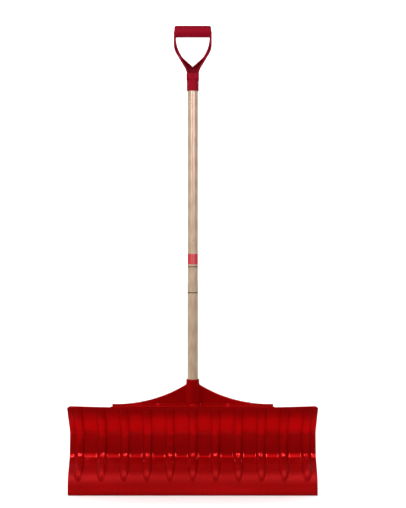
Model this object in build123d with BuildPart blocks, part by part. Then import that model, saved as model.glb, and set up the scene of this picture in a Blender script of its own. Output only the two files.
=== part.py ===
from build123d import *

# Push-type snow shovel: a wide curved plastic blade, a round wooden shaft and a plastic D-grip.
# Frame, in millimetres: +X across the blade, -Y towards the working face, +Z up the shaft.
# The origin is midway across the blade and midway through the shovel's depth, at the height
# of the blade's bottom edge.

import os
from math import cos, radians, sin, sqrt

# ---------------------------------------------------------------- blade, side view
BLADE_WIDTH = 762.0  # a 30 inch blade
WALL = 3.6  # thickness of the moulded sheet
STRIP_HEIGHT = 20.0  # upright scraping strip along the bottom
TOE_RADIUS, TOE_ANGLE = 75.0, 45.0  # bend above the strip
RAMP_LENGTH = 41.5  # straight part that snow slides up
KNEE_RADIUS, KNEE_ANGLE = 36.0, 37.0
BACK_LENGTH = 49.5  # nearly upright back of the bowl
CROWN_RADIUS, CROWN_ANGLE = 22.0, 53.0  # turns forward
CURL_LENGTH = 105.5
RIM_RADIUS, RIM_HEIGHT = 10.0, 3.0  # turns upright again along the top

# ---------------------------------------------------------------- blade, front view
RIM_DIP = 6.5  # the top edge is this much lower at the middle
TOP_CORNER, BOTTOM_CORNER = 11.0, 3.0  # corner radii
RIB_COUNT, RIB_PITCH = 11, 70.0
RIB_RADIUS, RIB_HEIGHT = 20.0, 7.0  # a rib is the front of a round bar sunk into the sheet
RIB_GAP = RIB_RADIUS - RIB_HEIGHT  # from the working face back to the bar's centreline
RIB_SINK = 7.8  # the bar is this much thinner where the rib has gone under the face
RIB_FADE_ANGLE = 27.0  # part of the toe bend along which a rib fades
RIB_FADE_LENGTH = 14.0  # part of the curl along which a rib fades

# ---------------------------------------------------------------- shaft and its socket
SHAFT_RADIUS = 15.875  # 1 1/4 inch dowel
SHAFT_BOTTOM, SHAFT_TOP = 241.0, 1285.0
BORE_RADIUS = SHAFT_RADIUS + 0.05
SOCKET_RADIUS, SOCKET_TOP = 19.85, 351.0
SOCKET_FLOOR = 4.0
SHAFT_CHAMFER = 1.5
SOCKET_REACH = 60.0  # from the rim's front back to the shaft's axis

# ---------------------------------------------------------------- shoulder behind the rim
SHELF_HALF_WIDTH = 246.0
SHELF_RISE = 4.0  # the shelf climbs this much from the rim to the shoulder plate
PLATE_THICKNESS = 4.0
SHOULDER_RADIUS, SHOULDER_ANGLE = 414.0, 32.5  # hollow curve from the shelf up to the socket
SHOULDER_FLAT = 236.6  # the curve starts this far from the middle
TRAY_DEPTH = 13.0  # edging and webs behind the shoulder plate
WEB = 3.2
WEB_PLACES = (18.0, 105.0, 175.0, SHELF_HALF_WIDTH - WEB / 2)
WEB_FOOT = 188.0  # the webs run out into the back of the sheet above this height
BITE = 1.0  # how far neighbouring shapes of one moulding run into each other

# ---------------------------------------------------------------- D-grip
BAR_TOP, BAR_HEIGHT, BAR_DEPTH, BAR_HALF_LENGTH = 1439.0, 35.5, 31.0, 56.8
GRIP_RADIUS, GRIP_BOTTOM, YOKE_BOTTOM = 18.45, 1237.5, 1286.0
YOKE_FOOT = GRIP_RADIUS - 0.3  # the yoke is slightly narrower than the socket it grows from
YOKE_ROOT = 10.0  # the yoke starts this far below its foot, inside the socket
YOKE_ANGLE = 31.5  # the arms spread this far from upright
YOKE_LOW_RADIUS, YOKE_SIDE, YOKE_HIGH_RADIUS = 52.0, 46.7, 57.0
ARM_TOP, ARM_HALF_DEPTH, ARM_ROUND = 1420.0, 12.8, 2.6
HAND_BOTTOM, HAND_TOP, HAND_HALF_WIDTH = 1311.5, 1405.0, 51.7
HAND_KNEE, HAND_WAIST = (30.0, 1338.5), (43.0, 1361.0)  # points on the hand hole's side
HAND_FOOT_ROUND = 5.0
BAR_ROUND, ARM_CORNER = 14.5, 6.0
NOSE_TAPER, NOSE_HEIGHT = 7.0, 9.0  # the cone that closes the top of the grip's socket
RIDGE = 4.6  # width of the ridges around the hollows in the yoke
YOKE_WEB = 6.0
HOLLOW_RISE, HOLLOW_HEIGHT, HOLLOW_ROUND = 4.0, 92.0, 4.0  # the hollows, from the yoke's foot

# ---------------------------------------------------------------- screws, all driven from the back
SCREW_RADIUS, SCREW_LENGTH, SCREW_TIP = 2.4, 24.0, 3.5
HEAD_RADIUS, HEAD_HEIGHT = 4.6, 2.9
PAD_RADIUS, PAD_HEIGHT = 7.0, 1.4
TIP_RADIUS, HEAD_ROUND = 0.4, 1.8
RECESS_LENGTH, RECESS_WIDTH, RECESS_DEPTH = 4.6, 0.9, 1.7  # the cross recess in a head
HOLE_RADIUS = SCREW_RADIUS + 0.06
HOLE_REACH = 60.0  # drilled from the axis out past the pad
SOCKET_SCREW_HEIGHTS = (302.0, 336.0)
GRIP_SCREW_HEIGHT = 1262.0


# ---------------------------------------------------------------- where the bends put everything
BACK_LEAN = TOE_ANGLE - KNEE_ANGLE
CURL_LEAN = CROWN_ANGLE - BACK_LEAN
TOE, BACK = radians(TOE_ANGLE), radians(BACK_LEAN)  # backward lean of the ramp and the back
CURL = radians(CURL_LEAN)  # forward lean of the curl
BACK_RUN = (
    TOE_RADIUS * (1 - cos(TOE))
    + RAMP_LENGTH * sin(TOE)
    + KNEE_RADIUS * (cos(BACK) - cos(TOE))
    + BACK_LENGTH * sin(BACK)
    + CROWN_RADIUS * (1 - cos(BACK))
)
FORWARD_RUN = (CROWN_RADIUS + RIM_RADIUS) * (1 - cos(CURL)) + CURL_LENGTH * sin(CURL)
BLADE_TOP = (
    STRIP_HEIGHT
    + TOE_RADIUS * sin(TOE)
    + RAMP_LENGTH * cos(TOE)
    + KNEE_RADIUS * (sin(TOE) - sin(BACK))
    + BACK_LENGTH * cos(BACK)
    + CROWN_RADIUS * (sin(BACK) + sin(CURL))
    + CURL_LENGTH * cos(CURL)
    + RIM_RADIUS * sin(CURL)
    + RIM_HEIGHT
)
BLADE_DEPTH = FORWARD_RUN + WALL
RIM_Y = -BLADE_DEPTH / 2  # front of the rim
STRIP_Y = RIM_Y + FORWARD_RUN - BACK_RUN  # front of the scraping strip
AXIS_Y = RIM_Y + SOCKET_REACH  # the shaft's axis
RIM_LOW = BLADE_TOP - RIM_DIP  # height of the top edge at the middle
SHELF_TOP = RIM_LOW + SHELF_RISE
PLATE_Y = AXIS_Y - PLATE_THICKNESS / 2  # front of the shoulder plate
PLATE_BACK_Y = PLATE_Y + PLATE_THICKNESS
TRAY_Y = PLATE_BACK_Y + TRAY_DEPTH  # rearmost point of the shoulder
PAST_ALL = 40.0  # far enough to clear every other piece

UPWARDS = (Align.CENTER, Align.CENTER, Align.MIN)
DOWNWARDS = (Align.CENTER, Align.CENTER, Align.MAX)


def face_line(gap):
    """Draws the working face's side view, moved back by gap, and returns its two ends."""
    strip = Line((STRIP_Y + gap, 0), (STRIP_Y + gap, STRIP_HEIGHT))
    toe = JernArc(strip @ 1, strip % 1, TOE_RADIUS - gap, -TOE_ANGLE)
    ramp = PolarLine(toe @ 1, RAMP_LENGTH, direction=toe % 1)
    knee = JernArc(ramp @ 1, ramp % 1, KNEE_RADIUS + gap, KNEE_ANGLE)
    back = PolarLine(knee @ 1, BACK_LENGTH, direction=knee % 1)
    crown = JernArc(back @ 1, back % 1, CROWN_RADIUS + gap, CROWN_ANGLE)
    curl = PolarLine(crown @ 1, CURL_LENGTH, direction=crown % 1)
    turn = JernArc(curl @ 1, curl % 1, RIM_RADIUS - gap, -CURL_LEAN)
    rim = PolarLine(turn @ 1, RIM_HEIGHT, direction=turn % 1)
    return strip @ 0, rim @ 1


def slab(front_gap, back_gap):
    """A curved slab as wide as the blade, between two depths behind the working face."""
    with BuildPart() as piece:
        with BuildSketch(Plane.YZ):
            with BuildLine():
                front_foot, front_rim = face_line(front_gap)
                back_foot, back_rim = face_line(back_gap)
                Line(front_foot, back_foot)
                Line(front_rim, back_rim)
            make_face()
        extrude(amount=BLADE_WIDTH / 2, both=True)
    return piece.part


def rib_bar(radius):
    """A round bar bent along the blade and thinner at its ends, whose front makes a rib."""
    reach = TOE_RADIUS - RIB_GAP  # radius of the bar's centreline around the toe bend
    start = (STRIP_Y + TOE_RADIUS - reach * cos(TOE), STRIP_HEIGHT + reach * sin(TOE))
    uphill = (sin(TOE), cos(TOE))
    with BuildPart() as bar:
        with BuildLine(Plane.YZ) as middle:
            ramp = PolarLine(start, RAMP_LENGTH, direction=uphill)
            knee = JernArc(ramp @ 1, uphill, KNEE_RADIUS + RIB_GAP, KNEE_ANGLE)
            back = PolarLine(knee @ 1, BACK_LENGTH, direction=(sin(BACK), cos(BACK)))
            crown = JernArc(back @ 1, (sin(BACK), cos(BACK)), CROWN_RADIUS + RIB_GAP, CROWN_ANGLE)
            PolarLine(crown @ 1, CURL_LENGTH - RIB_FADE_LENGTH, direction=(-sin(CURL), cos(CURL)))
        foot = Plane(middle.line @ 0, z_dir=middle.line % 0)
        head = Plane(middle.line @ 1, z_dir=middle.line % 1)
        with BuildSketch(foot):
            Circle(radius)
        sweep(path=middle.line)
        # the upper end narrows as a cone
        with Locations(head):
            Cone(radius, radius - RIB_SINK, RIB_FADE_LENGTH, align=UPWARDS)
        # the lower end narrows around the toe bend
        with BuildLine(Plane.YZ) as tail:
            JernArc(start, (-sin(TOE), -cos(TOE)), reach, RIB_FADE_ANGLE)
        with BuildSketch(Plane(tail.line @ 0, z_dir=tail.line % 0)):
            Circle(radius)
        with BuildSketch(Plane(tail.line @ 1, z_dir=tail.line % 1)):
            Circle(radius - RIB_SINK)
        sweep(path=tail.line, multisection=True)
    return bar.part


# ---------------------------------------------------------------- blade: ribs
with BuildPart() as rib:
    add(rib_bar(RIB_RADIUS))
    add(slab(-RIB_HEIGHT - 2, WALL / 2), mode=Mode.INTERSECT)

with BuildPart() as groove:
    add(rib_bar(RIB_RADIUS - WALL))

# ---------------------------------------------------------------- blade: shoulder, socket and webs
FRONT_PLANE = Plane.XZ.offset(-PLATE_Y)
BACK_PLANE = Plane.XZ.offset(-PLATE_BACK_Y)

with BuildSketch(Plane.XZ) as shoulder_outline:
    with BuildLine():
        rise = CenterArc(
            (SHOULDER_FLAT, SHELF_TOP + SHOULDER_RADIUS),
            SHOULDER_RADIUS,
            270 - SHOULDER_ANGLE,
            SHOULDER_ANGLE,
        )
        Polyline(
            rise @ 1,
            (SHELF_HALF_WIDTH, SHELF_TOP),
            (SHELF_HALF_WIDTH, RIM_LOW - WALL),
            (0, RIM_LOW - WALL),
            (0, (rise @ 0).Y),
            rise @ 0,
        )
        mirror(about=Plane.YZ)
    make_face()

with BuildPart() as behind:  # everything behind the middle of the sheet
    with BuildSketch(Plane.YZ):
        with BuildLine():
            foot, top = face_line(WALL / 2)
            far, high = TRAY_Y + PAST_ALL, SOCKET_TOP + PAST_ALL
            Polyline(top, (top.X, high), (far, high), (far, 0), foot)
        make_face()
    extrude(amount=BLADE_WIDTH / 2, both=True)

with BuildPart() as shoulder:
    # the plate with its edging, hollow behind
    with BuildSketch(FRONT_PLANE):
        add(shoulder_outline.sketch)
    extrude(amount=-(PLATE_THICKNESS + TRAY_DEPTH))
    with BuildSketch(BACK_PLANE):
        offset(shoulder_outline.sketch, amount=-WEB)
    extrude(amount=-PAST_ALL, mode=Mode.SUBTRACT)
    # the shelf from the rim to the plate
    with BuildSketch(Plane.YZ):
        Polygon(
            (RIM_Y, RIM_LOW - WALL),
            (PLATE_Y + BITE, SHELF_TOP - WALL),
            (PLATE_Y + BITE, SHELF_TOP),
            (RIM_Y, RIM_LOW),
            align=None,
        )
    extrude(amount=SHELF_HALF_WIDTH, both=True)
    # upright webs under the shelf
    web_top = RIM_LOW - BITE
    for place in WEB_PLACES:
        with Locations((-place, RIM_Y, web_top), (place, RIM_Y, web_top)):
            Box(WEB, TRAY_Y - RIM_Y, web_top - WEB_FOOT, align=(Align.CENTER, Align.MIN, Align.MAX))
    # the same webs behind the plate, up to its curved top; the outermost ones end at the shelf
    for place in WEB_PLACES[:-1]:
        drop = sqrt(SHOULDER_RADIUS**2 - (SHOULDER_FLAT - place) ** 2)
        climb = SHELF_RISE + WALL + SHOULDER_RADIUS - drop - BITE
        with Locations((-place, PLATE_Y, RIM_LOW - WALL), (place, PLATE_Y, RIM_LOW - WALL)):
            Box(WEB, TRAY_Y - PLATE_Y, climb, align=(Align.CENTER, Align.MIN, Align.MIN))
    # socket, with flat pads for the screws
    with Locations((0, AXIS_Y, SHAFT_BOTTOM - SOCKET_FLOOR)):
        Cylinder(
            SOCKET_RADIUS,
            SOCKET_TOP - SHAFT_BOTTOM + SOCKET_FLOOR,
            align=UPWARDS,
        )
    for height in SOCKET_SCREW_HEIGHTS:
        with Locations(Location((0, AXIS_Y, height), (-90, 0, 0))):
            Cylinder(PAD_RADIUS, SOCKET_RADIUS + PAD_HEIGHT, align=UPWARDS)
    add(behind.part, mode=Mode.INTERSECT)

with BuildPart() as blade:
    add(slab(0, WALL))
    with Locations(*[((n - (RIB_COUNT - 1) / 2) * RIB_PITCH, 0, 0) for n in range(RIB_COUNT)]):
        add(rib.part)
        add(groove.part, mode=Mode.SUBTRACT)
    add(shoulder.part)
    # front outline of the sheet
    with BuildSketch(Plane.XZ) as front:
        with BuildLine():
            half = BLADE_WIDTH / 2
            Polyline((-half, BLADE_TOP), (-half, 0), (half, 0), (half, BLADE_TOP))
            ThreePointArc((half, BLADE_TOP), (0, RIM_LOW), (-half, BLADE_TOP))
        make_face()
        fillet(front.vertices().group_by(Axis.Y)[-1], TOP_CORNER)
        fillet(front.vertices().group_by(Axis.Y)[0], BOTTOM_CORNER)
        add(shoulder_outline.sketch)
        with Locations((0, SOCKET_TOP)):
            Rectangle(2 * SOCKET_RADIUS + BITE, SOCKET_TOP - SHAFT_BOTTOM, align=(Align.CENTER, Align.MAX))
    extrude(amount=BLADE_DEPTH, both=True, mode=Mode.INTERSECT)
    # bore for the shaft
    with Locations((0, AXIS_Y, SHAFT_BOTTOM)):
        Cylinder(BORE_RADIUS, SOCKET_TOP, align=UPWARDS, mode=Mode.SUBTRACT)
    for height in SOCKET_SCREW_HEIGHTS:
        with Locations(Location((0, AXIS_Y, height), (-90, 0, 0))):
            Cylinder(HOLE_RADIUS, HOLE_REACH, align=UPWARDS, mode=Mode.SUBTRACT)

# ---------------------------------------------------------------- shaft
with BuildPart() as shaft:
    with Locations((0, AXIS_Y, SHAFT_BOTTOM)):
        Cylinder(SHAFT_RADIUS, SHAFT_TOP - SHAFT_BOTTOM, align=UPWARDS)
    chamfer(shaft.edges().filter_by(GeomType.CIRCLE), SHAFT_CHAMFER)
    for height in (*SOCKET_SCREW_HEIGHTS, GRIP_SCREW_HEIGHT):
        with Locations(Location((0, AXIS_Y - SCREW_TIP - BITE, height), (-90, 0, 0))):
            Cylinder(HOLE_RADIUS, HOLE_REACH, align=UPWARDS, mode=Mode.SUBTRACT)

# ---------------------------------------------------------------- D-grip
GRIP_PLANE = Plane.XZ.offset(-AXIS_Y)

with BuildSketch() as frame_outline:
    with BuildLine():
        side = Line((YOKE_FOOT, YOKE_BOTTOM - YOKE_ROOT), (YOKE_FOOT, YOKE_BOTTOM))
        flare = JernArc(side @ 1, side % 1, YOKE_LOW_RADIUS, -YOKE_ANGLE)
        slope = PolarLine(flare @ 1, YOKE_SIDE, direction=flare % 1)
        shoulder_bend = JernArc(slope @ 1, slope % 1, YOKE_HIGH_RADIUS, YOKE_ANGLE)
        Polyline(shoulder_bend @ 1, ((shoulder_bend @ 1).X, ARM_TOP), (0, ARM_TOP))
        Line((0, YOKE_BOTTOM - YOKE_ROOT), side @ 0)
        mirror(about=Plane.YZ)
    make_face()
    fillet(frame_outline.vertices().group_by(Axis.Y)[-1].sort_by(Axis.X)[0], ARM_CORNER)
    fillet(frame_outline.vertices().group_by(Axis.Y)[-1].sort_by(Axis.X)[-1], ARM_CORNER)

with BuildSketch() as hand_hole:
    with BuildLine():
        Line((0, HAND_BOTTOM), HAND_KNEE)
        wall = ThreePointArc(HAND_KNEE, HAND_WAIST, (HAND_HALF_WIDTH, HAND_TOP - BITE))
        Polyline(wall @ 1, (HAND_HALF_WIDTH, HAND_TOP), (0, HAND_TOP))
        mirror(about=Plane.YZ)
    make_face()
    fillet(hand_hole.vertices().group_by(Axis.Y)[0], HAND_FOOT_ROUND)

with BuildSketch() as hand_rim:
    offset(hand_hole.sketch, amount=RIDGE)

with BuildSketch() as yoke_hollow:
    offset(frame_outline.sketch, amount=-RIDGE)
    add(hand_rim.sketch, mode=Mode.SUBTRACT)
    with Locations((0, YOKE_BOTTOM + HOLLOW_RISE)):
        Rectangle(4 * BAR_HALF_LENGTH, HOLLOW_HEIGHT, align=(Align.CENTER, Align.MIN), mode=Mode.INTERSECT)
    fillet(yoke_hollow.vertices().group_by(Axis.Y)[0], HOLLOW_ROUND)

with BuildPart() as d_grip:
    # yoke and arms, with rounded edges
    with BuildSketch(GRIP_PLANE):
        add(frame_outline.sketch)
        add(hand_hole.sketch, mode=Mode.SUBTRACT)
    extrude(amount=ARM_HALF_DEPTH, both=True)
    fillet(d_grip.faces().sort_by(Axis.Y)[0].edges(), ARM_ROUND)
    fillet(d_grip.faces().sort_by(Axis.Y)[-1].edges(), ARM_ROUND)
    # hollows between the ridges, front and back
    for facing in (-1, 1):
        with BuildSketch(Plane.XZ.offset(-(AXIS_Y + facing * YOKE_WEB / 2))):
            add(yoke_hollow.sketch)
        extrude(amount=-facing * PAST_ALL, mode=Mode.SUBTRACT)
    # crossbar
    with BuildSketch(Plane.YZ.offset(-BAR_HALF_LENGTH)):
        with Locations((AXIS_Y, BAR_TOP - BAR_HEIGHT / 2)):
            RectangleRounded(BAR_DEPTH, BAR_HEIGHT, BAR_ROUND)
    extrude(amount=2 * BAR_HALF_LENGTH)
    # socket
    with Locations((0, AXIS_Y, GRIP_BOTTOM)):
        Cylinder(GRIP_RADIUS, YOKE_BOTTOM - GRIP_BOTTOM, align=UPWARDS)
    with Locations((0, AXIS_Y, YOKE_BOTTOM)):
        Cone(GRIP_RADIUS, GRIP_RADIUS - NOSE_TAPER, NOSE_HEIGHT, align=UPWARDS)
    with Locations(Location((0, AXIS_Y, GRIP_SCREW_HEIGHT), (-90, 0, 0))):
        Cylinder(PAD_RADIUS, GRIP_RADIUS + PAD_HEIGHT, align=UPWARDS)
    with Locations((0, AXIS_Y, GRIP_BOTTOM)):
        Cylinder(
            BORE_RADIUS,
            SHAFT_TOP - GRIP_BOTTOM + BORE_RADIUS - SHAFT_RADIUS,
            align=UPWARDS,
            mode=Mode.SUBTRACT,
        )
    with Locations(Location((0, AXIS_Y, GRIP_SCREW_HEIGHT), (-90, 0, 0))):
        Cylinder(HOLE_RADIUS, HOLE_REACH, align=UPWARDS, mode=Mode.SUBTRACT)

# ---------------------------------------------------------------- pan-head wood screws
with BuildPart() as screw:  # under-head face at z = 0, head upwards
    Cylinder(HEAD_RADIUS, HEAD_HEIGHT, align=UPWARDS)
    fillet(screw.edges().filter_by(GeomType.CIRCLE).group_by(Axis.Z)[-1], HEAD_ROUND)
    with Locations((0, 0, HEAD_HEIGHT)):
        Box(RECESS_LENGTH, RECESS_WIDTH, RECESS_DEPTH, align=DOWNWARDS, mode=Mode.SUBTRACT)
        Box(RECESS_WIDTH, RECESS_LENGTH, RECESS_DEPTH, align=DOWNWARDS, mode=Mode.SUBTRACT)
    Cylinder(SCREW_RADIUS, SCREW_LENGTH - SCREW_TIP, align=DOWNWARDS)
    with Locations((0, 0, SCREW_TIP - SCREW_LENGTH)):
        Cone(TIP_RADIUS, SCREW_RADIUS, SCREW_TIP, align=DOWNWARDS)


def seat(height, tube_radius):
    """Where a screw sits on its pad behind a tube, pointing at the shaft's axis."""
    return Location((0, AXIS_Y + tube_radius + PAD_HEIGHT, height), (-90, 0, 0))


with BuildPart() as grip_screw:
    with Locations(seat(GRIP_SCREW_HEIGHT, GRIP_RADIUS)):
        add(screw.part)

with BuildPart() as socket_screw_upper:
    with Locations(seat(SOCKET_SCREW_HEIGHTS[1], SOCKET_RADIUS)):
        add(screw.part)

with BuildPart() as socket_screw_lower:
    with Locations(seat(SOCKET_SCREW_HEIGHTS[0], SOCKET_RADIUS)):
        add(screw.part)

# ---------------------------------------------------------------- save every piece
os.makedirs("parts", exist_ok=True)

blade.part.label = "blade"
export_step(blade.part, "parts/blade.step")

shaft.part.label = "shaft"
export_step(shaft.part, "parts/shaft.step")

d_grip.part.label = "d_grip"
export_step(d_grip.part, "parts/d_grip.step")

grip_screw.part.label = "grip_screw"
export_step(grip_screw.part, "parts/grip_screw.step")

socket_screw_upper.part.label = "socket_screw_upper"
export_step(socket_screw_upper.part, "parts/socket_screw_upper.step")

socket_screw_lower.part.label = "socket_screw_lower"
export_step(socket_screw_lower.part, "parts/socket_screw_lower.step")
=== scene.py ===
from math import cos, pi, radians, sin, sqrt

import bmesh
import bpy
import numpy as np
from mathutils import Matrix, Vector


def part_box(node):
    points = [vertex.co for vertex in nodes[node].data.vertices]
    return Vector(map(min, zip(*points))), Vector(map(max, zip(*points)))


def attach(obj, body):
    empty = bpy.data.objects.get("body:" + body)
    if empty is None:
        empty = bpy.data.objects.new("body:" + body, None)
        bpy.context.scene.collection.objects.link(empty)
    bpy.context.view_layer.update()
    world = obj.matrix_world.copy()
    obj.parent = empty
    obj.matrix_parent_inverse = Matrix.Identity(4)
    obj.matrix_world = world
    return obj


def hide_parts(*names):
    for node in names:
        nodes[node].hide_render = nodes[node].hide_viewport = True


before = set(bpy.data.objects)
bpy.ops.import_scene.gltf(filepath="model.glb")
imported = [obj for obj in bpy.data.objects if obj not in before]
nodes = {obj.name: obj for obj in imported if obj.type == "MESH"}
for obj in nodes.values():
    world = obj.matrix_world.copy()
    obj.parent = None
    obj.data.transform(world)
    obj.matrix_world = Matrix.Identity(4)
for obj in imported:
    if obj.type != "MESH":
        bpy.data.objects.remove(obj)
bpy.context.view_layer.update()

import openvdb
from mathutils import Vector

scene = bpy.context.scene

# ------------------------------------------------------------------ sizes, all in millimetres
blade_low, blade_high = [np.array(v) * 1000 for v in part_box("blade")]
shaft_low, shaft_high = [np.array(v) * 1000 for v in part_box("shaft")]
grip_low, grip_high = [np.array(v) * 1000 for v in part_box("d_grip")]

HALF_WIDTH = blade_high[0]
RIM_Y = blade_low[1]
AXIS_Y = (shaft_low[1] + shaft_high[1]) / 2
SHAFT_R = (shaft_high[0] - shaft_low[0]) / 2
SHAFT_BOTTOM, SHAFT_TOP = shaft_low[2], shaft_high[2]
SOCKET_TOP = blade_high[2]
GRIP_BOTTOM, GRIP_TOP = grip_low[2], grip_high[2]

WALL = 3.6
# the working face from its bottom edge up: lengths, and the radius and turn of each bend
STRIP = 20.0
TOE_R, TOE_A = 75.0, radians(45.0)
RAMP = 41.5
KNEE_R, KNEE_A = 36.0, radians(37.0)
BACK = 49.5
CROWN_R, CROWN_A = 22.0, radians(53.0)
CURL = 105.5
RIM_R, RIM_A, RIM_UP = 10.0, radians(45.0), 3.0
RIM_DIP, TOP_CORNER, BOTTOM_CORNER = 6.5, 11.0, 3.0
RIB_PITCH, RIB_COUNT = 70.0, 11
# behind the face: socket, shelf, shoulder plate, its edging and the webs
SOCKET_R = 19.85
SHELF_HALF = 246.0
SHELF_RISE = 4.0
PLATE_T = 4.0
SHOULDER_R, SHOULDER_FLAT = 414.0, 236.6
TRAY, WEB = 13.0, 3.2
WEB_X = (18.0, 105.0, 175.0, SHELF_HALF - WEB / 2)
WEB_FOOT = 188.0
SOCKET_FLOOR = 4.0
EDGE_ROUND = 0.8


# ------------------------------------------------------------------ blade sheet
class Face:
    """The working face's side view as a chain of straight and bent stretches."""

    def __init__(self):
        self.parts = []
        self.length = 0.0
        y, z, a = 0.0, 0.0, 0.0  # a is the lean towards the back, from upright
        for kind, size, turn in (
            ("line", STRIP, 0), ("arc", TOE_R, TOE_A), ("line", RAMP, 0), ("arc", KNEE_R, -KNEE_A),
            ("line", BACK, 0), ("arc", CROWN_R, -CROWN_A), ("line", CURL, 0),
            ("arc", RIM_R, RIM_A), ("line", RIM_UP, 0),
        ):
            span = size if kind == "line" else size * abs(turn)
            self.parts.append((self.length, span, kind, size, turn, y, z, a))
            if kind == "line":
                y, z = y + size * sin(a), z + size * cos(a)
            else:
                s = 1 if turn > 0 else -1
                y, z = y + s * size * (cos(a) - cos(a + turn)), z - s * size * (sin(a) - sin(a + turn))
                a += turn
            self.length += span
        self.shift = RIM_Y - y  # the rim's front is the blade's foremost point
        self.top = z

    def at(self, s):
        """Position (y, z) and lean at arc lengths s."""
        s = np.asarray(s, float)
        y, z, a = np.zeros_like(s), np.zeros_like(s), np.zeros_like(s)
        for start, span, kind, size, turn, y0, z0, a0 in self.parts:
            last = start + span >= self.length - 1e-9
            m = (s >= start) & ((s < start + span) | last)
            if start == 0:
                m |= s < 0
            u = s[m] - start
            if kind == "line":
                y[m], z[m], a[m] = y0 + u * sin(a0), z0 + u * cos(a0), a0
            else:
                k = 1 if turn > 0 else -1
                b = a0 + k * u / size
                y[m] = y0 + k * size * (cos(a0) - np.cos(b))
                z[m] = z0 - k * size * (sin(a0) - np.sin(b))
                a[m] = b
        return y + self.shift, z, a


face = Face()
KNEE_S = STRIP + TOE_R * TOE_A + RAMP
CURL_END = face.length - RIM_UP - RIM_R * RIM_A


def new_object(name, verts, faces):
    mesh = bpy.data.meshes.new(name)
    mesh.from_pydata([tuple(v) for v in verts], [], [tuple(int(i) for i in f) for f in faces])
    mesh.validate()
    mesh.update()
    mesh.shade_smooth()
    obj = bpy.data.objects.new(name, mesh)
    scene.collection.objects.link(obj)
    return obj


def smooth_step(a, b, t):
    u = np.clip((t - a) / (b - a), 0, 1)
    return u * u * (3 - 2 * u)


# ------------------------------------------------------------------ blade sheet mesh
RIB_R1, RIB_R2, RIB_CREST = 17.0, 9.4, 7.6
RIB_FADE_LOW = (43.0, 82.0)
RIB_FADE_HIGH = (CURL_END - 13.0, CURL_END + 1.0)
LOW_FADE_POWER, HIGH_FADE_POWER = 1.7, 2.0
NO_RIB = 99.0  # a distance from any rib at which there is none
RIB_X = [(n - (RIB_COUNT - 1) / 2) * RIB_PITCH for n in range(RIB_COUNT)]


def rib_crest(s):
    """Height of a rib's crest above the sheet at arc length s."""
    low = np.clip((RIB_FADE_LOW[1] - s) / (RIB_FADE_LOW[1] - RIB_FADE_LOW[0]), 0, 1)
    high = np.clip((s - RIB_FADE_HIGH[0]) / (RIB_FADE_HIGH[1] - RIB_FADE_HIGH[0]), 0, 1)
    return RIB_CREST * (1 - low**LOW_FADE_POWER) * (1 - high**HIGH_FADE_POWER)


def rib_height(x, s):
    """Height of the ribs above the sheet: a round crest with hollow fillets at its feet."""
    crest = rib_crest(s)
    cosine = 1 - crest / (RIB_R1 + RIB_R2)
    sine = np.sqrt(np.clip(1 - cosine**2, 0, 1))
    t = np.abs((x + RIB_PITCH / 2) % RIB_PITCH - RIB_PITCH / 2)
    t = np.where(np.abs(x) > RIB_X[-1] + RIB_PITCH / 2, NO_RIB, t)
    bend, foot = RIB_R1 * sine, (RIB_R1 + RIB_R2) * sine
    top = crest - RIB_R1 + np.sqrt(np.clip(RIB_R1**2 - t**2, 0, None))
    low = RIB_R2 - np.sqrt(np.clip(RIB_R2**2 - np.clip(foot - t, 0, None) ** 2, 0, None))
    return np.where(t <= bend, top, np.where(t < foot, low, 0.0))


def rim_top(x):
    """Height of the blade's top edge: it dips in the middle and has round corners."""
    edge = np.clip(np.abs(x) - (HALF_WIDTH - TOP_CORNER), 0, TOP_CORNER)
    corner = TOP_CORNER - np.sqrt(np.clip(TOP_CORNER**2 - edge**2, 0, None))
    return face.top - RIM_DIP * (1 - (x / HALF_WIDTH) ** 2) - corner


def blade_foot(x):
    """Height of the blade's bottom edge, which only rises at its round corners."""
    edge = np.clip(np.abs(x) - (HALF_WIDTH - BOTTOM_CORNER), 0, BOTTOM_CORNER)
    return BOTTOM_CORNER - np.sqrt(np.clip(BOTTOM_CORNER**2 - edge**2, 0, None))


def sheet_point(x, s, gap):
    """A point of the sheet, gap behind its front, at arc length s."""
    y, z, a = face.at(s)
    d = gap - rib_height(x, s)
    return np.stack([x + 0 * s, y + d * np.cos(a), z - d * np.sin(a)], -1)


ACROSS_RIB = np.array([0, 1.3, 2.8, 4.4, 6.2, 8.0, 9.8, 11.2, 12.4, 13.5, 14.7, 16.0, 17.4, 19.0])
BETWEEN_RIBS = (24.0, 29.5, 35.0, 40.5, 46.0)
NEAR_SIDE_EDGE = (3.0, 5.0, 8.0)


def column_places():
    """The mesh's columns: close together on the ribs, and round both side edges."""
    xs = []
    for c in RIB_X:
        xs += list(c + ACROSS_RIB) + list(c - ACROSS_RIB[1:])
    for c in RIB_X[:-1]:
        xs += [c + gap for gap in BETWEEN_RIBS]
    r = WALL / 2
    for side in (-1, 1):
        for d in NEAR_SIDE_EDGE:
            xs.append(side * (HALF_WIDTH - d))
        for k in range(7):
            xs.append(side * (HALF_WIDTH - r + r * sin(radians(15 * k))))
    return np.array(sorted(set(round(v, 4) for v in xs)))


FIRST_ROW, LOW_ROWS = 3.0, 12.0  # rows below LOW_ROWS are squeezed to follow the bottom edge
HIGH_ROWS = 30.0  # rows this near the top are squeezed to follow the rim
CURL_LAST = 18.0


def row_places():
    """The mesh's rows: arc lengths up the face, close together in the bends."""
    toe_end = STRIP + TOE_R * TOE_A
    stops = [
        (STRIP, 4), (toe_end, 24), (toe_end + RAMP, 9), (KNEE_S + KNEE_R * KNEE_A, 14),
        (KNEE_S + KNEE_R * KNEE_A + BACK, 8),
        (CURL_END - CURL, 16), (CURL_END - CURL_LAST, 12), (CURL_END, 10), (CURL_END + RIM_R * RIM_A, 7),
        (face.length, 3),
    ]
    rows, at = [FIRST_ROW], FIRST_ROW
    for stop, count in stops:
        rows += list(at + (stop - at) * np.arange(1, count + 1) / count)
        at = stop
    return np.array(rows)


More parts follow.
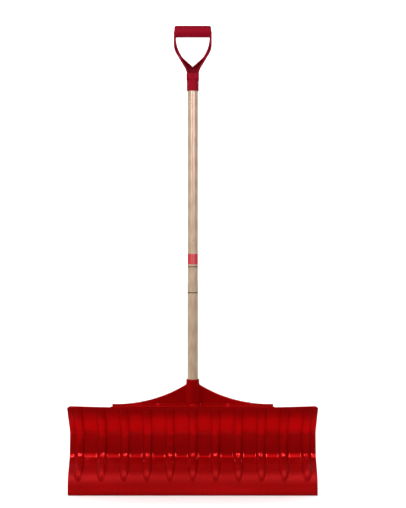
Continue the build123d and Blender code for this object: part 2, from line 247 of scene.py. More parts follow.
def make_sheet():
    """The sheet as one closed skin: each column runs up its front, over the rim, down its back and under."""
    xs, rows = column_places(), row_places()
    r = WALL / 2
    near_top = face.length - HIGH_ROWS
    loops = []
    for x in xs:
        inset = max(0.0, abs(x) - (HALF_WIDTH - r))
        narrow = sqrt(max(0.0, 1 - (inset / r) ** 2))
        front, back = r - r * narrow, r + r * narrow
        foot = float(blade_foot(np.array([x]))[0])
        tip = face.length - (face.top - float(rim_top(np.array([x]))[0]))
        rr = min(r, (back - front) / 2 + 1e-6)
        end = tip - rr
        squeezed = near_top + (rows - near_top) * (end - near_top) / (face.length - near_top)
        s = np.where(rows > near_top, squeezed, rows)
        lift = foot + rr
        raised = lift + (s - FIRST_ROW) * (LOW_ROWS - lift) / (LOW_ROWS - FIRST_ROW)
        s = np.where(s < LOW_ROWS, raised, s)
        turns = np.radians(np.arange(22.5, 180, 22.5))
        over = end + rr * np.sin(turns)
        over_gap = r - rr * np.cos(turns)
        under = lift - rr * np.sin(turns)
        under_gap = r + rr * np.cos(turns)
        ss = np.concatenate([s, over, s[::-1], under])
        gg = np.concatenate([np.full(len(s), front), over_gap, np.full(len(s), back), under_gap])
        loops.append(sheet_point(np.full(len(ss), x), ss, gg))
    grid = np.array(loops)
    cols, n = grid.shape[:2]
    verts = grid.reshape(-1, 3) / 1000
    i, j = np.meshgrid(np.arange(cols - 1), np.arange(n), indexing="ij")
    k = (j + 1) % n
    faces = np.stack([i * n + j, i * n + k, (i + 1) * n + k, (i + 1) * n + j], -1).reshape(-1, 4)
    return verts, faces[:, ::-1]


def weld(obj, distance=1e-6):
    bm = bmesh.new()
    bm.from_mesh(obj.data)
    bmesh.ops.remove_doubles(bm, verts=bm.verts, dist=distance)
    bmesh.ops.dissolve_degenerate(bm, edges=bm.edges, dist=distance)
    bmesh.ops.recalc_face_normals(bm, faces=bm.faces)
    bm.to_mesh(obj.data)
    bm.free()


verts, faces = make_sheet()
sheet = new_object("blade_sheet", verts, faces)
weld(sheet, 2e-5)


# ------------------------------------------------------------------ solid shapes from distance fields
def smooth_min(a, b, k):
    """Both solids a and b together, blended over a width of k."""
    h = np.clip(k - np.abs(a - b), 0, None)
    return np.minimum(a, b) - h * h / (4 * k)


def smooth_max(a, b, k):
    """Only where both a and b are inside, blended over a width of k."""
    return -smooth_min(-a, -b, k)


def both_rounded(a, b, r):
    """Where both a and b are inside, with the edge between them rounded."""
    u, v = a + r, b + r
    return np.minimum(np.maximum(u, v), 0) + np.hypot(np.maximum(u, 0), np.maximum(v, 0)) - r


def span(value, low, high):
    """Distance outside the range from low to high, negative inside it."""
    return np.abs(value - (low + high) / 2) - (high - low) / 2


def solid_mesh(name, field, origin, step, adapt):
    """The surface of a distance field as a mesh, with flat stretches thinned out by adapt."""
    grid = openvdb.FloatGrid(10.0)
    grid.copyFromArray(np.ascontiguousarray(field, dtype=np.float32))
    points, tris, quads = grid.convertToPolygons(0.0, adapt)
    verts = (np.asarray(points) * step + np.asarray(origin)) / 1000
    faces = [tuple(f) for f in tris] + [tuple(f) for f in quads]
    obj = new_object(name, verts, faces)
    weld(obj, 1e-7)
    return obj


def box_grid(low, high, step):
    """Coordinates of a grid of points that fills a box, one axis in each array."""
    low, high = np.array(low, float), np.array(high, float)
    counts = np.ceil((high - low) / step).astype(int) + 1
    x, y, z = [low[i] + step * np.arange(counts[i]) for i in range(3)]
    return x[:, None, None], y[None, :, None], z[None, None, :]


def line_distance(px, pz, line, closed):
    """Distance from points to a chain of short segments, and how far along it they are."""
    a = np.asarray(line[:-1] if not closed else line, float)
    b = np.asarray(line[1:] if not closed else np.roll(line, -1, axis=0), float)
    best = np.full(px.shape, 1e9)
    where = np.zeros(px.shape)
    side = np.zeros(px.shape)
    run = 0.0
    for p, q in zip(a, b):
        d = q - p
        size = float(np.hypot(*d))
        if size < 1e-9:
            continue
        u = np.clip(((px - p[0]) * d[0] + (pz - p[1]) * d[1]) / size**2, 0, 1)
        ex, ez = px - p[0] - u * d[0], pz - p[1] - u * d[1]
        dist = np.hypot(ex, ez)
        m = dist < best
        best = np.where(m, dist, best)
        where = np.where(m, run + u * size, where)
        side = np.where(m, np.sign(d[0] * ez - d[1] * ex), side)
        run += size
    return best, where, side


def inside_polygon(px, pz, line):
    """Which points are inside a closed outline."""
    odd = np.zeros(px.shape, bool)
    n = len(line)
    for i in range(n):
        x0, z0 = line[i]
        x1, z1 = line[(i + 1) % n]
        if z0 == z1:
            continue
        m = (z0 > pz) != (z1 > pz)
        cross = px < (x1 - x0) * (pz - z0) / (z1 - z0) + x0
        odd ^= m & cross
    return odd


# ------------------------------------------------------------------ shoulder, socket and webs
RIM_LOW = face.top - RIM_DIP
SHELF_TOP = RIM_LOW + SHELF_RISE
PLATE_Y = AXIS_Y - PLATE_T / 2
TRAY_Y = PLATE_Y + PLATE_T + TRAY
PAD_R, PAD_UP, HOLE_R = 7.0, 1.4, 2.46
SOCKET_SCREWS = (302.0, 336.0)
BORE_R = SHAFT_R + 0.05


def shoulder_field(x, y, z):
    """Distance field of everything behind the sheet, blended into the sheet's back."""
    samples = np.linspace(0, face.length, 260)
    ly, lz, _ = face.at(samples)
    line = np.stack([ly, lz], -1)
    py, pz = np.broadcast_arrays(y[0], z[0])
    dist, where, side = line_distance(py, pz, line, False)
    s = where * face.length / max(where.max(), 1e-9)
    s = np.clip(s, 0, face.length)
    depth = (dist * -side)[None]  # behind the working face is positive
    depth = depth + rib_height(x, s[None])
    sheet_slab = np.abs(depth - WALL / 2) - (WALL / 2 - 0.2)

    ax = np.abs(x)
    outline = np.where(
        ax < SHOULDER_FLAT,
        SHOULDER_R - np.hypot(ax - SHOULDER_FLAT, z - (SHELF_TOP + SHOULDER_R)),
        z - SHELF_TOP,
    )
    outline = np.maximum(outline, ax - SHELF_HALF)
    outline = np.maximum(outline, (RIM_LOW - WALL) - z)
    plate = both_rounded(outline, span(y, PLATE_Y, PLATE_Y + PLATE_T), EDGE_ROUND)
    edging = both_rounded(np.abs(outline + WEB / 2) - WEB / 2, span(y, PLATE_Y, TRAY_Y), EDGE_ROUND)

    shelf_top = RIM_LOW + SHELF_RISE * (y - RIM_Y) / (PLATE_Y + 1 - RIM_Y)
    shelf_mid = z - shelf_top + WALL / 2
    shelf = both_rounded(np.abs(shelf_mid) - WALL / 2, span(y, RIM_Y + 0.6, PLATE_Y + 2), EDGE_ROUND)
    shelf = both_rounded(shelf, ax - SHELF_HALF, EDGE_ROUND)

    solid = smooth_min(plate, edging, 2.5)
    solid = smooth_min(solid, shelf, 6.0)
    for n, place in enumerate(WEB_X):
        thin = np.abs(ax - place) - WEB / 2
        below_shelf = np.maximum(span(y, RIM_Y, TRAY_Y), span(z, WEB_FOOT, RIM_LOW - 1))
        under = both_rounded(thin, below_shelf, EDGE_ROUND)
        solid = smooth_min(solid, under, 3.0)
        if n < 3:
            behind = both_rounded(thin, np.maximum(span(y, PLATE_Y, TRAY_Y), outline + 1.0), EDGE_ROUND)
            solid = smooth_min(solid, behind, 3.0)

    rho = np.hypot(x, y - AXIS_Y)
    tube = both_rounded(rho - SOCKET_R, span(z, SHAFT_BOTTOM - SOCKET_FLOOR, SOCKET_TOP), 1.4)
    solid = smooth_min(solid, tube, 5.0)
    for height in SOCKET_SCREWS:
        pad = both_rounded(
            np.hypot(x, z - height) - PAD_R, span(y, AXIS_Y, AXIS_Y + SOCKET_R + PAD_UP), 0.6
        )
        solid = smooth_min(solid, pad, 1.5)
    raw = solid
    solid = smooth_min(solid, sheet_slab, 4.0)
    solid = np.maximum(solid, raw - 5.0)
    solid = np.maximum(solid, WALL / 2 - depth)
    bore = np.maximum(rho - BORE_R, SHAFT_BOTTOM - z)
    solid = smooth_max(solid, -bore, 1.2)
    for height in SOCKET_SCREWS:
        hole = np.maximum(np.hypot(x, z - height) - HOLE_R, AXIS_Y - y)
        solid = np.maximum(solid, -hole)
    return solid


SHOULDER_STEP = 1.1
gx, gy, gz = box_grid(
    (-SHELF_HALF - 3, RIM_Y - 3, WEB_FOOT - 4), (SHELF_HALF + 3, RIM_Y + 88, SOCKET_TOP + 3), SHOULDER_STEP
)
shoulder = solid_mesh(
    "blade_shoulder",
    shoulder_field(gx, gy, gz),
    (gx.flat[0], gy.flat[0], gz.flat[0]),
    SHOULDER_STEP,
    0.03,
)


# ------------------------------------------------------------------ D-grip
BAR_H, BAR_D, BAR_HALF = 35.5, 31.0, 56.8
GRIP_R, YOKE_BOTTOM = 18.45, 1286.0
ARM_TOP, ARM_HALF_DEPTH = 1420.5, 12.8
HAND_BOTTOM, HAND_TOP, HAND_HALF = 1311.5, 1404.0, 51.7
HAND_KNEE, HAND_BEND = (30.0, 1338.5), 109.0
ARM_LEAN, ARM_LOW_R, ARM_STRAIGHT, ARM_HIGH_R = radians(31.5), 52.0, 46.7, 57.0
RIDGE, YOKE_WEB, YOKE_HALF_DEPTH = 4.6, 6.0, 17.4
HOLLOW_TOP = 1384.0
BAR_ROUND, BAR_END_ROUND = 14.5, 6.5
GRIP_SCREW_Z = 1262.0


def arc_points(start, lean, radius, turn, count):
    """Points along a bend that starts leaning sideways by lean from upright."""
    k = 1 if turn > 0 else -1
    b = lean + turn * np.arange(1, count + 1) / count
    x = start[0] + k * radius * (cos(lean) - np.cos(b))
    z = start[1] - k * radius * (sin(lean) - np.sin(b))
    return [(float(p), float(q)) for p, q in zip(x, z)]


def grip_outline():
    """The yoke and arms seen from the front, right half then left."""
    right = [(GRIP_R - 0.3, YOKE_BOTTOM - 14), (GRIP_R - 0.3, YOKE_BOTTOM)]
    right += arc_points(right[-1], 0.0, ARM_LOW_R, ARM_LEAN, 12)
    x, z = right[-1]
    right.append((x + ARM_STRAIGHT * sin(ARM_LEAN), z + ARM_STRAIGHT * cos(ARM_LEAN)))
    right += arc_points(right[-1], ARM_LEAN, ARM_HIGH_R, -ARM_LEAN, 12)
    right.append((right[-1][0], ARM_TOP))
    return right + [(-x, z) for x, z in reversed(right)]


def hand_outline():
    """The opening for the hand, right half then left."""
    right = [(0.0, HAND_BOTTOM), HAND_KNEE]
    a, c = np.array(HAND_KNEE), np.array((HAND_HALF, HAND_TOP - 3.0))
    mid, half = (a + c) / 2, (c - a) / 2
    size = float(np.hypot(*half))
    normal = np.array((-half[1], half[0])) / size
    centre = mid + normal * sqrt(HAND_BEND**2 - size**2)
    a0 = np.arctan2(*(a - centre)[::-1])
    a1 = np.arctan2(*(c - centre)[::-1])
    for t in np.linspace(a0, a1, 15)[1:]:
        right.append((float(centre[0] + HAND_BEND * np.cos(t)), float(centre[1] + HAND_BEND * np.sin(t))))
    right.append((HAND_HALF, HAND_TOP))
    return right + [(-x, z) for x, z in reversed(right[1:])]


def polygon_field(px, pz, line):
    """Distance from a closed outline, negative inside it."""
    dist, _, _ = line_distance(px, pz, np.array(line), True)
    return np.where(inside_polygon(px, pz, line), -dist, dist)


def grip_field(x, y, z):
    """Distance field of the grip: yoke and arms, their hollows, the bar, the socket and its screw pad."""
    px, pz = np.broadcast_arrays(x[:, 0], z[0])
    outer = polygon_field(px, pz, grip_outline())
    hand = polygon_field(px, pz, hand_outline())
    band = smooth_max(outer, -hand, 1.0)[:, None, :]
    v = y - AXIS_Y
    rise = smooth_step(YOKE_BOTTOM + 4, YOKE_BOTTOM + 62, z)
    half_depth = YOKE_HALF_DEPTH + (ARM_HALF_DEPTH - YOKE_HALF_DEPTH) * rise
    body = both_rounded(band, np.abs(v) - half_depth, 4.0)
    hollow = np.maximum(outer + RIDGE, RIDGE - hand)[:, None, :]
    hollow = smooth_max(hollow, (YOKE_BOTTOM + 5.0) - z, 3.0)
    hollow = smooth_max(hollow, z - HOLLOW_TOP, 3.0)
    cut = smooth_max(hollow, YOKE_WEB / 2 - np.abs(v), 2.5)
    body = smooth_max(body, -cut, 2.4)

    bar_section = np.hypot(
        np.clip(np.abs(v) - (BAR_D / 2 - BAR_ROUND), 0, None),
        np.clip(np.abs(z - (GRIP_TOP - BAR_H / 2)) - (BAR_H / 2 - BAR_ROUND), 0, None),
    ) - BAR_ROUND
    bar = both_rounded(bar_section, np.abs(x) - BAR_HALF, BAR_END_ROUND)
    solid = smooth_min(body, bar, 2.2)

    rho = np.hypot(x, v)
    socket = both_rounded(rho - GRIP_R, span(z, GRIP_BOTTOM, YOKE_BOTTOM + 5), 1.3)
    solid = smooth_min(solid, socket, 4.5)
    pad = both_rounded(np.hypot(x, z - GRIP_SCREW_Z) - PAD_R, span(v, 0, GRIP_R + PAD_UP), 0.6)
    solid = smooth_min(solid, pad, 1.5)
    bore = np.maximum(rho - BORE_R, z - SHAFT_TOP)
    solid = smooth_max(solid, -bore, 1.0)
    hole = np.maximum(np.hypot(x, z - GRIP_SCREW_Z) - HOLE_R, -v)
    return np.maximum(solid, -hole)


GRIP_STEP = 0.85
gx, gy, gz = box_grid((-61.5, AXIS_Y - 21, GRIP_BOTTOM - 2.5), (61.5, AXIS_Y + 22.5, GRIP_TOP + 2), GRIP_STEP)
grip = solid_mesh(
    "grip", grip_field(gx, gy, gz), (gx.flat[0], gy.flat[0], gz.flat[0]), GRIP_STEP, 0.01
)


# ------------------------------------------------------------------ shaft
def make_shaft():
    """A turned dowel with eased ends, finely divided so that it shades as a true round."""
    turns, r = 96, SHAFT_R
    profile = [
        (0.0, SHAFT_BOTTOM), (r - 1.5, SHAFT_BOTTOM), (r - 0.4, SHAFT_BOTTOM + 0.5), (r, SHAFT_BOTTOM + 1.5),
    ]
    for k in range(1, 40):
        profile.append((r, SHAFT_BOTTOM + (SHAFT_TOP - SHAFT_BOTTOM) * k / 40))
    profile += [(r, SHAFT_TOP - 1.5), (r - 0.4, SHAFT_TOP - 0.5), (r - 1.5, SHAFT_TOP), (0.0, SHAFT_TOP)]
    verts, faces = [], []
    for radius, height in profile:
        for k in range(turns):
            t = 2 * pi * k / turns
            verts.append((radius * cos(t), AXIS_Y + radius * sin(t), height))
    for row in range(len(profile) - 1):
        for k in range(turns):
            a, b = row * turns + k, row * turns + (k + 1) % turns
            faces.append((a, b, b + turns, a + turns))
    return np.array(verts) / 1000, faces


verts, faces = make_shaft()
shaft = new_object("shaft_dowel", verts, faces)
weld(shaft, 1e-7)


# ------------------------------------------------------------------ materials
def new_material(name):
    mat = bpy.data.materials.new(name)
    mat.use_nodes = True
    tree = mat.node_tree
    tree.nodes.clear()
    out = tree.nodes.new("ShaderNodeOutputMaterial")
    shader = tree.nodes.new("ShaderNodeBsdfPrincipled")
    tree.links.new(shader.outputs[0], out.inputs[0])
    return mat, tree, shader


def maths(tree, operation, *values, clamp=False):
    """A sum on sockets and plain numbers."""
    made = tree.nodes.new("ShaderNodeMath")
    made.operation = operation
    made.use_clamp = clamp
    for socket, value in zip(made.inputs, values):
        if isinstance(value, (int, float)):
            socket.default_value = value
        else:
            tree.links.new(value, socket)
    return made.outputs[0]


def ramp(tree, value, stops, ease=False):
    """Colours at stops of the value, blended between them."""
    made = tree.nodes.new("ShaderNodeValToRGB")
    if ease:
        made.color_ramp.interpolation = "EASE"
    els = made.color_ramp.elements
    while len(els) < len(stops):
        els.new(0.5)
    for el, (pos, colour) in zip(els, stops):
        el.position = pos
        el.color = colour + (1,)
    tree.links.new(value, made.inputs[0])
    return made.outputs[0]


def mix(tree, factor, under, colour):
    """A plain colour laid over the colour socket under, as far as factor says."""
    made = tree.nodes.new("ShaderNodeMix")
    made.data_type = "RGBA"
    tree.links.new(factor, made.inputs[0])
    tree.links.new(under, made.inputs[6])
    made.inputs[7].default_value = colour + (1,)
    return made.outputs[2]


def eased(tree, value, start, end, low=0.0, high=1.0):
    """Rises smoothly from low to high as the value goes from start to end."""
    made = tree.nodes.new("ShaderNodeMapRange")
    made.interpolation_type = "SMOOTHSTEP"
    for socket, number in (("From Min", start), ("From Max", end), ("To Min", low), ("To Max", high)):
        made.inputs[socket].default_value = number
    tree.links.new(value, made.inputs["Value"])
    return made.outputs[0]


def split_axes(tree, vector):
    made = tree.nodes.new("ShaderNodeSeparateXYZ")
    tree.links.new(vector, made.inputs[0])
    return made.outputs


def position(tree, scale=(1, 1, 1)):
    """The object's own coordinates, in metres, each multiplied by scale."""
    coord = tree.nodes.new("ShaderNodeTexCoord")
    stretch = tree.nodes.new("ShaderNodeMapping")
    stretch.inputs["Scale"].default_value = scale
    tree.links.new(coord.outputs["Object"], stretch.inputs["Vector"])
    return stretch.outputs[0]


def noise(tree, vector, scale, detail=3.0, rough=0.5):
    made = tree.nodes.new("ShaderNodeTexNoise")
    made.inputs["Scale"].default_value = scale
    made.inputs["Detail"].default_value = detail
    made.inputs["Roughness"].default_value = rough
    tree.links.new(vector, made.inputs["Vector"])
    return made.outputs["Fac"]


def bump(tree, shader, height, strength, distance, under=None):
    made = tree.nodes.new("ShaderNodeBump")
    made.inputs["Strength"].default_value = strength
    made.inputs["Distance"].default_value = distance
    tree.links.new(height, made.inputs["Height"])
    if under is not None:
        tree.links.new(under, made.inputs["Normal"])
    tree.links.new(made.outputs[0], shader.inputs["Normal"])
    return made.outputs[0]


WORN_RADIUS, WORN_GAIN = 0.0016, 2.2
# reach and strength of the painted shade in hollows
HOLLOW_REACH, HOLLOW_GAIN, HOLLOW_START = 0.012, -4.0, 3.6
SCUFF_BLEND, SCUFF_DULLING = 0.012, -0.55
# fade at the ends and depth of the painted shade lines beside the ribs
CREASE_BLEND_LOW, CREASE_BLEND_HIGH, CREASE_SHADE = 0.006, 0.004, 0.6


def worn_edges(tree, here):
    """How far an outside edge has worn: a bevelled normal against the true one, in patches."""
    edge = tree.nodes.new("ShaderNodeBevel")
    edge.samples = 4
    edge.inputs["Radius"].default_value = WORN_RADIUS
    geo = tree.nodes.new("ShaderNodeNewGeometry")
    dot = tree.nodes.new("ShaderNodeVectorMath")
    dot.operation = "DOT_PRODUCT"
    tree.links.new(edge.outputs[0], dot.inputs[0])
    tree.links.new(geo.outputs["Normal"], dot.inputs[1])
    worn = maths(tree, "SUBTRACT", 1.0, dot.outputs["Value"])
    worn = maths(tree, "MULTIPLY", worn, noise(tree, here, 60.0, 2.0))
    return maths(tree, "MULTIPLY", worn, WORN_GAIN, clamp=True)


def hollows(tree):
    """How deep a point lies in a corner or hollow, used to paint shade into the colour there."""
    made = tree.nodes.new("ShaderNodeAmbientOcclusion")
    made.samples = 8
    made.inputs["Distance"].default_value = HOLLOW_REACH
    return maths(tree, "MULTIPLY_ADD", made.outputs["AO"], HOLLOW_GAIN, HOLLOW_START, clamp=True)


def crease_shade_lines(tree, axes, foot, spread, bottom, top):
    """Painted shade: dark lines that run beside each rib, at a distance of foot from its middle."""
    across = maths(tree, "PINGPONG", axes["X"], RIB_PITCH / 2000)
    off = maths(tree, "ABSOLUTE", maths(tree, "SUBTRACT", across, foot))
    line = maths(tree, "SUBTRACT", 1.0, maths(tree, "DIVIDE", off, spread), clamp=True)
    ends = (
        (bottom - CREASE_BLEND_LOW, bottom + CREASE_BLEND_LOW),
        (top + CREASE_BLEND_HIGH, top - CREASE_BLEND_HIGH),
    )
    for outside, inside in ends:
        line = maths(tree, "MULTIPLY", line, eased(tree, axes["Z"], outside, inside))
    return maths(tree, "MULTIPLY", line, CREASE_SHADE)


def moulded_plastic(name, deep, bright, rough, scratch, texture, gloss, tint, scuffed=None, creases=None):
    """Coloured moulded plastic: slight colour drift, fine texture, scuffs, paler worn edges, and painted
    shade in corners and hollows.
    scuffed = (height, roughness added): what is lower than that has been dulled by use.
    creases = (foot, half width, bottom, top): painted shade lies in dark lines beside each rib."""
    mat, tree, shader = new_material(name)
    here = position(tree)
    drift = noise(tree, here, 9.0, 3.0)
    colour = ramp(tree, drift, ((0.3, deep), (0.7, bright)))
    pale = tuple(min(1.0, c * 1.5 + 0.03) for c in bright)
    colour = mix(tree, worn_edges(tree, here), colour, pale)
    # painted shade: the colour darkens in corners and hollows, where less light reaches
    colour = mix(tree, hollows(tree), colour, tuple(c * 0.55 for c in deep))
    axes = split_axes(tree, here)
    if creases:
        # painted shade: dark lines beside each rib, where its foot meets the sheet
        colour = mix(tree, crease_shade_lines(tree, axes, *creases), colour, tuple(c * 0.4 for c in deep))
    streaky = noise(tree, position(tree, (6, 40, 260)), 1.0, 4.0, 0.6)
    scuff = ramp(tree, streaky, ((0.45, (0, 0, 0)), (0.75, (1, 1, 1))))
    blotch = noise(tree, here, 22.0, 3.0)
    level = maths(tree, "MULTIPLY_ADD", blotch, 0.10, rough - 0.05)
    level = maths(tree, "ADD", level, maths(tree, "MULTIPLY", scuff, scratch))
    if scuffed:
        height, added = scuffed
        low = eased(tree, axes["Z"], height + SCUFF_BLEND, height - SCUFF_BLEND)
        level = maths(tree, "ADD", level, maths(tree, "MULTIPLY", low, added))
        shine = maths(tree, "MULTIPLY_ADD", low, SCUFF_DULLING, gloss)
        tree.links.new(shine, shader.inputs["Specular IOR Level"])
    else:
        shader.inputs["Specular IOR Level"].default_value = gloss
    tree.links.new(colour, shader.inputs["Base Color"])
    tree.links.new(level, shader.inputs["Roughness"])
    shader.inputs["IOR"].default_value = 1.49
    shader.inputs["Specular Tint"].default_value = tint + (1,)
    grain = noise(tree, here, texture, 2.0)
    wave = noise(tree, position(tree, (1, 1, 0.6)), 14.0, 1.0)
    waved = bump(tree, shader, wave, 0.12, 0.0012)
    bump(tree, shader, grain, 0.10, 0.0002, waved)
    return mat


# creases paints shade lines beside the ribs of the blade
blade_mat = moulded_plastic(
    "blade_red_plastic", (0.318, 0.0013, 0.0017), (0.352, 0.0015, 0.0020),
    rough=0.13, scratch=0.03, texture=900.0, gloss=0.8, tint=(1.0, 0.055, 0.06),
    scuffed=(0.092, 0.24), creases=(0.0132, 0.0026, 0.066, 0.262),
)
grip_mat = moulded_plastic(
    "grip_crimson_plastic", (0.29, 0.002, 0.014), (0.33, 0.003, 0.018),
    rough=0.50, scratch=0.05, texture=1500.0, gloss=0.15, tint=(1.0, 0.10, 0.16),
)

# painted rings: bottom and top in metres above the floor, and colour
BLACK = (0.02, 0.02, 0.02)
RINGS = ((0.7045, 0.7370, (0.70, 0.022, 0.036)), (0.6955, 0.6985, BLACK), (0.6160, 0.6190, BLACK))
KNOT = (0.003, (AXIS_Y - SHAFT_R) / 1000, 0.778)


def wood_material():
    """Pale turned wood with long grain, fine pores, a pin knot, and painted rings."""
    mat, tree, shader = new_material("shaft_wood")
    here = position(tree)
    slow = position(tree, (1, 1, 0.09))
    warp = noise(tree, position(tree, (1, 1, 0.14)), 22.0, 3.0)
    bands = tree.nodes.new("ShaderNodeTexWave")
    bands.wave_type = "RINGS"
    bands.rings_direction = "X"
    for socket, number in (("Scale", 55.0), ("Distortion", 7.0), ("Detail", 3.0), ("Detail Scale", 1.4)):
        bands.inputs[socket].default_value = number
    tree.links.new(slow, bands.inputs["Vector"])
    streak = noise(tree, position(tree, (1, 1, 0.02)), 420.0, 5.0, 0.65)
    tone = maths(tree, "MULTIPLY", bands.outputs["Fac"], 0.35)
    tone = maths(tree, "ADD", tone, maths(tree, "MULTIPLY", streak, 0.4))
    tone = maths(tree, "ADD", tone, maths(tree, "MULTIPLY", warp, 0.45))
    wood = ramp(tree, tone, (
        (0.25, (0.470, 0.333, 0.196)), (0.50, (0.535, 0.392, 0.243)), (0.80, (0.600, 0.455, 0.300)),
    ))
    pores = noise(tree, position(tree, (1, 1, 0.035)), 1500.0, 2.0, 0.7)
    pore_mask = ramp(tree, pores, ((0.30, (1, 1, 1)), (0.42, (0, 0, 0))))
    wood = mix(tree, maths(tree, "MULTIPLY", pore_mask, 0.22), wood, (0.36, 0.22, 0.12))
    # pin knot on the front
    knot = tree.nodes.new("ShaderNodeVectorMath")
    knot.operation = "DISTANCE"
    knot.inputs[1].default_value = KNOT
    tree.links.new(here, knot.inputs[0])
    near = maths(tree, "MULTIPLY", knot.outputs["Value"], 120.0)
    knot_mask = ramp(tree, near, ((0.15, (1, 1, 1)), (0.45, (0, 0, 0))), True)
    wood = mix(tree, maths(tree, "MULTIPLY", knot_mask, 0.55), wood, (0.28, 0.15, 0.08))
    ragged = maths(tree, "MULTIPLY", noise(tree, here, 260.0, 2.0), 0.0007)
    level = maths(tree, "ADD", split_axes(tree, here)["Z"], ragged)
    colour, painted = wood, None
    for bottom, top, paint_colour in RINGS:
        above = maths(tree, "GREATER_THAN", level, bottom)
        below = maths(tree, "LESS_THAN", level, top)
        on = maths(tree, "MULTIPLY", above, below)
        colour = mix(tree, on, colour, paint_colour)
        painted = on if painted is None else maths(tree, "MAXIMUM", painted, on)
    tree.links.new(colour, shader.inputs["Base Color"])
    rough = maths(tree, "ADD", maths(tree, "MULTIPLY", streak, 0.14), 0.34)
    rough = maths(tree, "SUBTRACT", rough, maths(tree, "MULTIPLY", painted, 0.06))
    tree.links.new(rough, shader.inputs["Roughness"])
    shader.inputs["Coat Weight"].default_value = 0.25
    shader.inputs["Coat Roughness"].default_value = 0.22
    relief = maths(tree, "ADD", maths(tree, "MULTIPLY", streak, 0.5), maths(tree, "MULTIPLY", painted, 0.8))
    bump(tree, shader, relief, 0.22, 0.00025)
    return mat


wood_mat = wood_material()


def zinc_material():
    """Plated steel, cloudy and finely turned."""
    mat, tree, shader = new_material("screw_zinc_plate")
    cloud = noise(tree, position(tree), 700.0, 4.0)
    colour = ramp(tree, cloud, ((0.3, (0.50, 0.50, 0.47)), (0.7, (0.70, 0.70, 0.68))))
    tree.links.new(colour, shader.inputs["Base Color"])
    shader.inputs["Metallic"].default_value = 1.0
    rough = maths(tree, "ADD", maths(tree, "MULTIPLY", cloud, 0.25), 0.18)
    tree.links.new(rough, shader.inputs["Roughness"])
    turned = noise(tree, position(tree, (1, 0.2, 1)), 3000.0, 2.0)
    bump(tree, shader, turned, 0.15, 0.0001)
    return mat


zinc_mat = zinc_material()


def paint(obj, mat):
    obj.data.materials.clear()
    obj.data.materials.append(mat)


for piece, mat in ((sheet, blade_mat), (shoulder, blade_mat), (grip, grip_mat), (shaft, wood_mat)):
    paint(piece, mat)
for name in ("grip_screw", "socket_screw_upper", "socket_screw_lower"):
    paint(nodes[name], zinc_mat)


# ------------------------------------------------------------------ floor and light
WHITE_SEEN, FRONT_SKY, BACK_SKY = 1.1, 0.50, 1.65  # the world as seen, and as light from each side
FLOOR_REACH = 30.0

corners = [
    (-FLOOR_REACH, -FLOOR_REACH, 0), (FLOOR_REACH, -FLOOR_REACH, 0),
    (FLOOR_REACH, FLOOR_REACH, 0), (-FLOOR_REACH, FLOOR_REACH, 0),
]
floor = new_object("floor", corners, [(0, 1, 2, 3)])
floor.visible_glossy = False
floor.visible_diffuse = False
floor_mat, tree, shader = new_material("floor_white")
fleck = noise(tree, position(tree), 3.0, 4.0)
whites = ramp(tree, fleck, ((0.3, (0.94, 0.94, 0.94)), (0.7, (0.96, 0.96, 0.96))))
tree.links.new(whites, shader.inputs["Base Color"])
shader.inputs["Roughness"].default_value = 0.6
shader.inputs["Emission Color"].default_value = (0.80, 1.0, 1.0, 1)  # offsets the red from the blade
shader.inputs["Emission Strength"].default_value = 0.30
paint(floor, floor_mat)


def soft_light(name, place, target, width, height, power, colour=(1, 1, 1)):
    data = bpy.data.lights.new(name, "AREA")
    data.shape = "RECTANGLE"
    data.size, data.size_y = width, height
    data.energy = power
    data.color = colour
    lamp = bpy.data.objects.new(name, data)
    scene.collection.objects.link(lamp)
    lamp.location = place
    aim = Vector(target) - Vector(place)
    lamp.rotation_euler = aim.to_track_quat("-Z", "Y").to_euler()
    return lamp


def low_beam(name, place, lean, spread, power):
    """A narrow light just above the floor in front of the blade, leaning back from upright."""
    target = (place[0], place[1] + sin(radians(lean)), place[2] + cos(radians(lean)))
    beam = soft_light(name, place, target, 0.84, 0.03, power)
    beam.data.spread = radians(spread)
    beam.visible_camera = False
    beam.visible_glossy = False


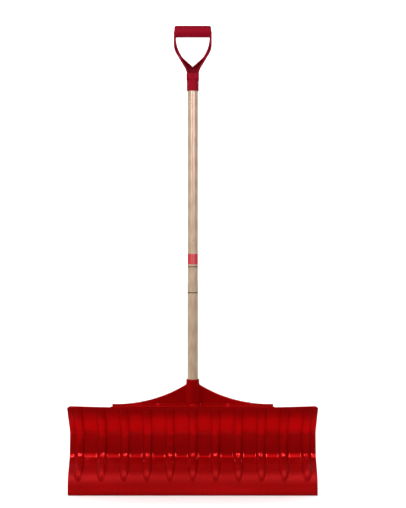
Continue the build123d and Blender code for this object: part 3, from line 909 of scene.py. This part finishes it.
# the world lights the back more than the front, and reflections do not see it
world = bpy.data.worlds.new("studio")
world.use_nodes = True
scene.world = world
scene.view_settings.view_transform = "Standard"
sky = world.node_tree
sky.nodes.clear()
sky_out = sky.nodes.new("ShaderNodeOutputWorld")
glow = sky.nodes.new("ShaderNodeBackground")
glow.inputs[0].default_value = (1, 1, 1, 1)
toward = sky.nodes.new("ShaderNodeTexCoord")
shade = eased(sky, split_axes(sky, toward.outputs["Generated"])["Y"], -0.9, 0.7, FRONT_SKY, BACK_SKY)
path = sky.nodes.new("ShaderNodeLightPath")
lit = maths(sky, "MULTIPLY", shade, maths(sky, "SUBTRACT", 1.0, path.outputs["Is Glossy Ray"]))
seen = maths(sky, "MULTIPLY", path.outputs["Is Camera Ray"], WHITE_SEEN)
sky.links.new(maths(sky, "MAXIMUM", lit, seen), glow.inputs[1])
sky.links.new(glow.outputs[0], sky_out.inputs[0])

# strips and panels that only show as reflections on the ribs and the knee bend
KNEE_CENTRE = (0, RIM_Y / 1000, 0.12)
PANEL_RED = (1.0, 0.05, 0.05)
for side, x, power in (("right", 1.02, 105), ("left", -0.96, 90)):
    strip = soft_light("gloss_strip_" + side, (x, -2.1, 1.75), KNEE_CENTRE, 0.09, 1.6, power)
    strip.visible_diffuse = False
for side, x, power in (("right", 1.2, 76), ("left", -1.2, 56)):
    panel = soft_light("gloss_panel_" + side, (x, -1.9, 2.0), KNEE_CENTRE, 2.3, 2.2, power, PANEL_RED)
    panel.visible_diffuse = False

# light from below on the curl and along the bottom strip, and from a window at the left
CURL_BEAM = (0, -0.145, 0.02)
low_beam("curl_beam_high", CURL_BEAM, 35.5, 19, 0.085)
low_beam("curl_beam_low", CURL_BEAM, 45.0, 19, 0.085)
low_beam("edge_beam", (0, -0.60, 0.02), 91.0, 5, 0.03)
window = soft_light("window_left", (-2.6, -1.6, 1.9), (0, 0, 0.7), 1.4, 1.8, 30)
window.visible_glossy = False


# ------------------------------------------------------------------ camera
CAMERA_PLACE = (0.0315, (RIM_Y - 3700) / 1000, 0.736)
cam_data = bpy.data.cameras.new("camera")
cam_data.lens = 86.5
cam_data.sensor_width = 36.0
cam_data.sensor_fit = "AUTO"
cam_data.clip_end = 60
camera = bpy.data.objects.new("camera", cam_data)
scene.collection.objects.link(camera)
camera.location = CAMERA_PLACE
camera.rotation_euler = (radians(90), 0, 0)
scene.camera = camera


# ------------------------------------------------------------------ pieces
for piece, node, slot in (
    (sheet, "blade", "blade_plastic"), (shoulder, "blade", "blade_plastic"),
    (grip, "d_grip", "grip_plastic"), (shaft, "shaft", "shaft_wood"),
):
    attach(piece, "root")
    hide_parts(node)
